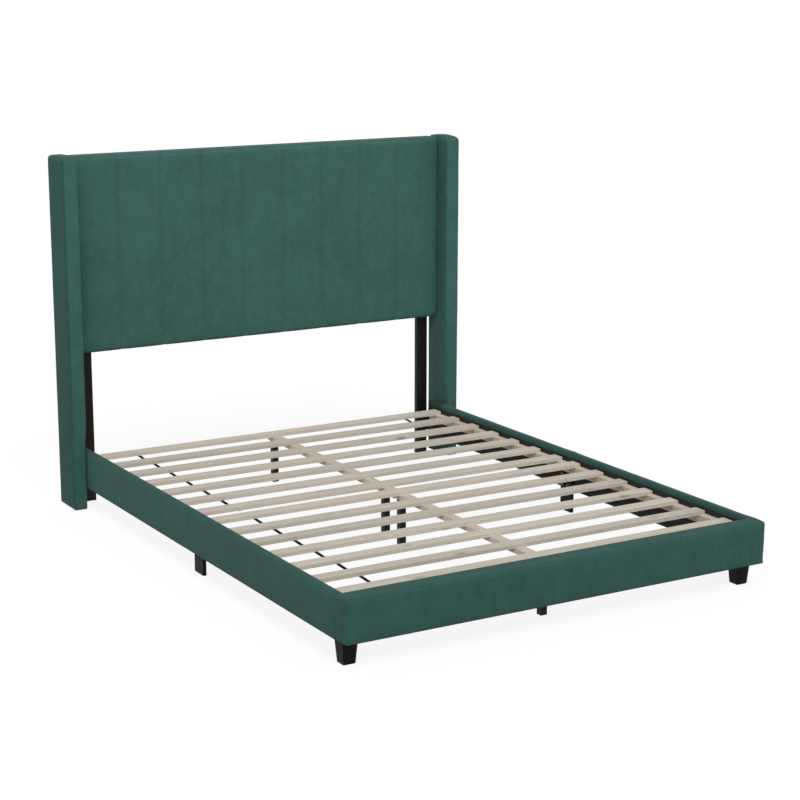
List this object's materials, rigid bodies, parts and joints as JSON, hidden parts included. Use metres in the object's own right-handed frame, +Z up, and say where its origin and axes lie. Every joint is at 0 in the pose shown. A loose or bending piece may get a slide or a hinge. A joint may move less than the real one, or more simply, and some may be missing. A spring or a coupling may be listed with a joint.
{
  "type": "wingback bed frame",
  "caption": "Upholstered low platform bed with a channelled headboard between two upright wings, padded rails, a centre beam and loose slat mats.",
  "frame": {"origin": "on the floor, under the middle of the bed's outer box", "axes": "+X to the right seen from the foot, +Y from the foot to the head, +Z up"},
  "size_m": [1.7326, 2.204, 1.353],
  "materials": {
    "velvet": "dark green velvet with a soft, mottled nap",
    "foam": "cut upholstery foam",
    "inner_wood": "plain sawn wood and plywood inside the covers",
    "slat_wood": "pale planed poplar, unfinished",
    "black_wood": "satin black lacquer",
    "black_cloth": "thin black non-woven lining",
    "webbing": "black woven strap",
    "steel": "zinc plated",
    "black_steel": "black powder coat"
  },
  "bodies": {
    "frame": {"headboard_cover": "velvet", "headboard_foam": "foam", "headboard_board": "inner_wood", "headboard_rails": "inner_wood", "headboard_stiles": "inner_wood", "headboard_back_cloth": "black_cloth", "wing_cover_left": "velvet", "wing_cover_right": "velvet", "wing_core_left": "inner_wood", "wing_core_right": "inner_wood", "post_left": "black_wood", "post_right": "black_wood", "rail_cover_left_foot": "velvet", "rail_cover_left_head": "velvet", "rail_cover_right_foot": "velvet", "rail_cover_right_head": "velvet", "rail_core_left_foot": "inner_wood", "rail_core_left_head": "inner_wood", "rail_core_right_foot": "inner_wood", "rail_core_right_head": "inner_wood", "footboard_cover": "velvet", "footboard_core": "inner_wood", "inner_linings": "black_cloth", "ledger_left_foot": "slat_wood", "ledger_left_head": "slat_wood", "ledger_right_foot": "slat_wood", "ledger_right_head": "slat_wood", "head_brackets": "black_steel", "mid_leg_left": "black_wood", "mid_leg_right": "black_wood", "corner_blocks": "inner_wood", "corner_leg_left": "black_wood", "corner_leg_right": "black_wood", "beam_foot": "slat_wood", "beam_head": "slat_wood", "beam_joint_plate": "steel", "beam_foot_bracket": "steel", "centre_legs": "black_wood", "frame_bolts": "steel", "headboard_bolts": "steel", "hanger_bolts": "steel", "ledger_screws": "steel", "beam_screws": "steel"},
    "slat_mat_foot": {"slat_01": "slat_wood", "slat_02": "slat_wood", "slat_03": "slat_wood", "slat_04": "slat_wood", "slat_05": "slat_wood", "slat_06": "slat_wood", "slat_07": "slat_wood", "straps_foot": "webbing"},
    "slat_mat_head": {"slat_08": "slat_wood", "slat_09": "slat_wood", "slat_10": "slat_wood", "slat_11": "slat_wood", "slat_12": "slat_wood", "slat_13": "slat_wood", "slat_14": "slat_wood", "straps_head": "webbing"}
  },
  "joints": [
    {"name": "slat_mat_foot_lift", "type": "slide", "parent": "frame", "child": "slat_mat_foot", "axis": [0, 0, 1], "range_m": [0, 0.3]},
    {"name": "slat_mat_head_lift", "type": "slide", "parent": "frame", "child": "slat_mat_head", "axis": [0, 0, 1], "range_m": [0, 0.3]}
  ]
}
